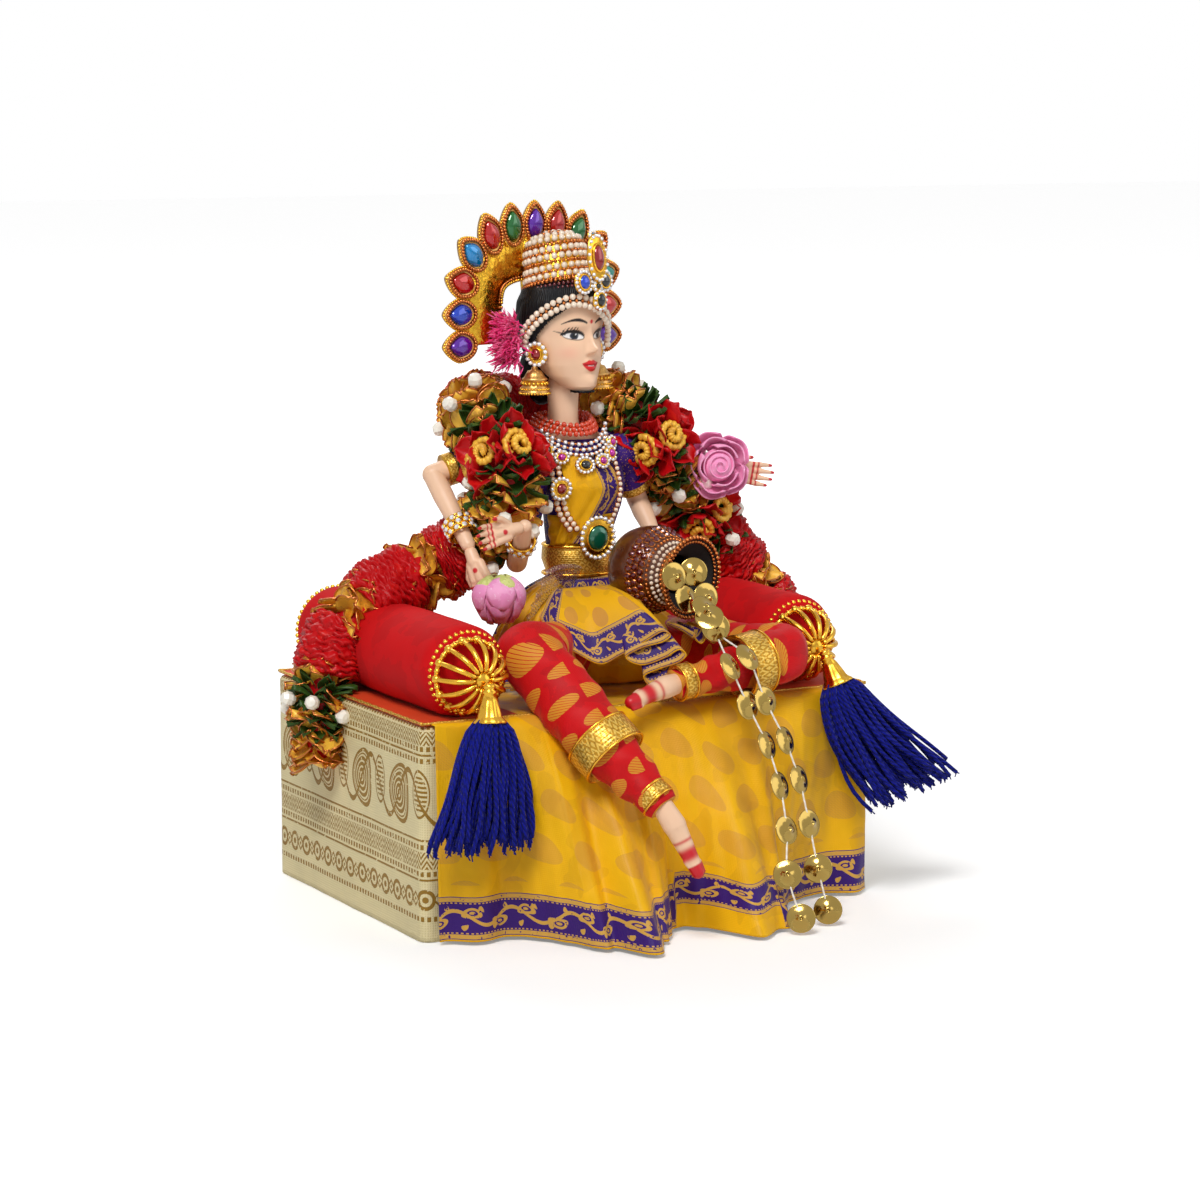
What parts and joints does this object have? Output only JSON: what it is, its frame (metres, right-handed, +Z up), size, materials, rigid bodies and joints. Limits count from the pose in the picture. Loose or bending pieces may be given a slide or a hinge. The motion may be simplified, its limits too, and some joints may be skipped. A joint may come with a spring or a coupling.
{
  "type": "golu doll",
  "caption": "Seated four-armed jointed doll in silk sari on a brocade-covered block between velvet bolsters, with garlands, gem halo, lotus, rose, tipped coin pot and hanging tassels",
  "frame": {"origin": "centre of the block's flat underside", "axes": "+Z up; -Y towards the front, where the silk drape and tassels hang; +X towards the doll's own left"},
  "size_m": [0.1871, 0.1547, 0.2147],
  "materials": {
    "vinyl": "satin skin-coloured vinyl",
    "timber": "raw sawn wood",
    "brocade": "cream and gold jacquard",
    "silk": "yellow silk with tan woven motifs",
    "orange_cloth": "orange-red cotton",
    "velvet": "red velvet",
    "red_brocade": "red silk with gold woven motifs",
    "purple_silk": "purple silk with gold brocade",
    "zari": "gold zari braid",
    "net": "mauve net with sparkles",
    "gold": "polished gold colour",
    "yarn": "blue twisted yarn",
    "hair": "black moulded hair",
    "feather": "magenta feather",
    "stones": "faceted clear and coloured stones",
    "coral": "coral-coloured beads",
    "foam_pink": "pink craft foam",
    "lacquer": "brown-gold lacquer with set stones",
    "coin": "pale gold stamped metal",
    "ribbon": "red satin, gold tissue and green ribbon"
  },
  "bodies": {
    "seated_doll": {"wooden_block": "timber", "brocade_cover": "brocade", "seat_mat": "orange_cloth", "seat_drape": "silk", "bolster_right": "velvet", "bolster_left": "velvet", "bolster_cap_right": "gold", "bolster_cap_left": "gold", "torso": "vinyl", "leg_right": "vinyl", "leg_left": "vinyl", "legging_right": "red_brocade", "legging_left": "red_brocade", "calf_band_right": "zari", "calf_band_left": "zari", "blouse": "purple_silk", "waist_belt": "zari", "hip_wrap": "silk", "pallu": "silk", "pleat_fan": "purple_silk", "pleat_tail": "purple_silk", "net_stole": "net", "upper_arm_rear_right": "vinyl", "arm_front_right": "vinyl", "bracelets_front_right": "gold", "arm_rear_left": "vinyl", "pot": "lacquer", "arm_front_left": "vinyl", "hand_front_left": "vinyl", "coin_cluster": "coin", "garland_right": "ribbon", "garland_left": "ribbon", "coral_necklace": "coral", "collar_necklace": "stones", "ruby_chain": "stones", "emerald_chain": "stones"},
    "head": {"head": "vinyl", "hair": "hair", "crown": "gold", "crown_brooch": "stones", "forehead_chain": "stones", "halo": "gold", "feather_flower": "feather", "ear_stud_right": "stones", "ear_stud_left": "stones"},
    "earring_right": {"jhumka_right": "gold"},
    "earring_left": {"jhumka_left": "gold"},
    "tassel_right": {"tassel_bell_right": "gold", "tassel_yarn_right": "yarn"},
    "tassel_left": {"tassel_bell_left": "gold", "tassel_yarn_left": "yarn"},
    "lower_arm_rear_right": {"forearm_rear_right": "vinyl", "bracelets_rear_right": "gold"},
    "palm_rear_right": {"hand_rear_right": "vinyl", "lotus_bud": "foam_pink"},
    "palm_front_right": {"hand_front_right": "vinyl"},
    "palm_rear_left": {"hand_rear_left": "vinyl", "rose": "foam_pink"},
    "coins_right": {"coin_string_right": "coin"},
    "coins_left": {"coin_string_left": "coin"}
  },
  "joints": [
    {"name": "head_turn", "type": "hinge", "parent": "seated_doll", "child": "head", "pos_m": [0.0008, 0.0055, 0.1561], "axis": [0, 0, 1], "range_deg": [-15, 15]},
    {"name": "jhumka_swing_right", "type": "hinge", "parent": "head", "child": "earring_right", "pos_m": [-0.01221, -0.00041, 0.1649], "axis": [0.9511, 0.309, 0], "range_deg": [-12, 12]},
    {"name": "jhumka_swing_left", "type": "hinge", "parent": "head", "child": "earring_left", "pos_m": [0.0148, 0.00837, 0.1649], "axis": [0.9511, 0.309, 0], "range_deg": [-12, 12]},
    {"name": "tassel_swing_right", "type": "hinge", "parent": "seated_doll", "child": "tassel_right", "pos_m": [-0.0602, -0.0646, 0.0787], "axis": [0, 1, 0], "range_deg": [-8, 8]},
    {"name": "tassel_swing_left", "type": "hinge", "parent": "seated_doll", "child": "tassel_left", "pos_m": [0.0582, -0.0586, 0.0787], "axis": [0, 1, 0], "range_deg": [-8, 8]},
    {"name": "elbow_rear_right", "type": "hinge", "parent": "seated_doll", "child": "lower_arm_rear_right", "pos_m": [-0.0416, 0.012, 0.1314], "axis": [-1, 0, 0], "range_deg": [0, 12]},
    {"name": "wrist_rear_right", "type": "hinge", "parent": "lower_arm_rear_right", "child": "palm_rear_right", "pos_m": [-0.0393, -0.008, 0.1115], "axis": [0.1231, -0.4924, -0.8616], "range_deg": [-8, 8]},
    {"name": "wrist_front_right", "type": "hinge", "parent": "seated_doll", "child": "palm_front_right", "pos_m": [-0.0265, -0.0215, 0.1179], "axis": [0, 0, 1], "range_deg": [-6, 10]},
    {"name": "wrist_rear_left", "type": "hinge", "parent": "seated_doll", "child": "palm_rear_left", "pos_m": [0.0515, -0.0006, 0.1303], "axis": [0.9222, -0.3458, -0.1729], "range_deg": [-8, 8]},
    {"name": "coin_swing_right", "type": "hinge", "parent": "seated_doll", "child": "coins_right", "pos_m": [0.0173, -0.0644, 0.0856], "axis": [-1, 0, 0], "range_deg": [0, 12]},
    {"name": "coin_swing_left", "type": "hinge", "parent": "seated_doll", "child": "coins_left", "pos_m": [0.0192, -0.0643, 0.0859], "axis": [-1, 0, 0], "range_deg": [0, 12]}
  ],
  "couplings": [
    {"joint": "coin_swing_left", "follows": "coin_swing_right", "ratio": 1}
  ]
}
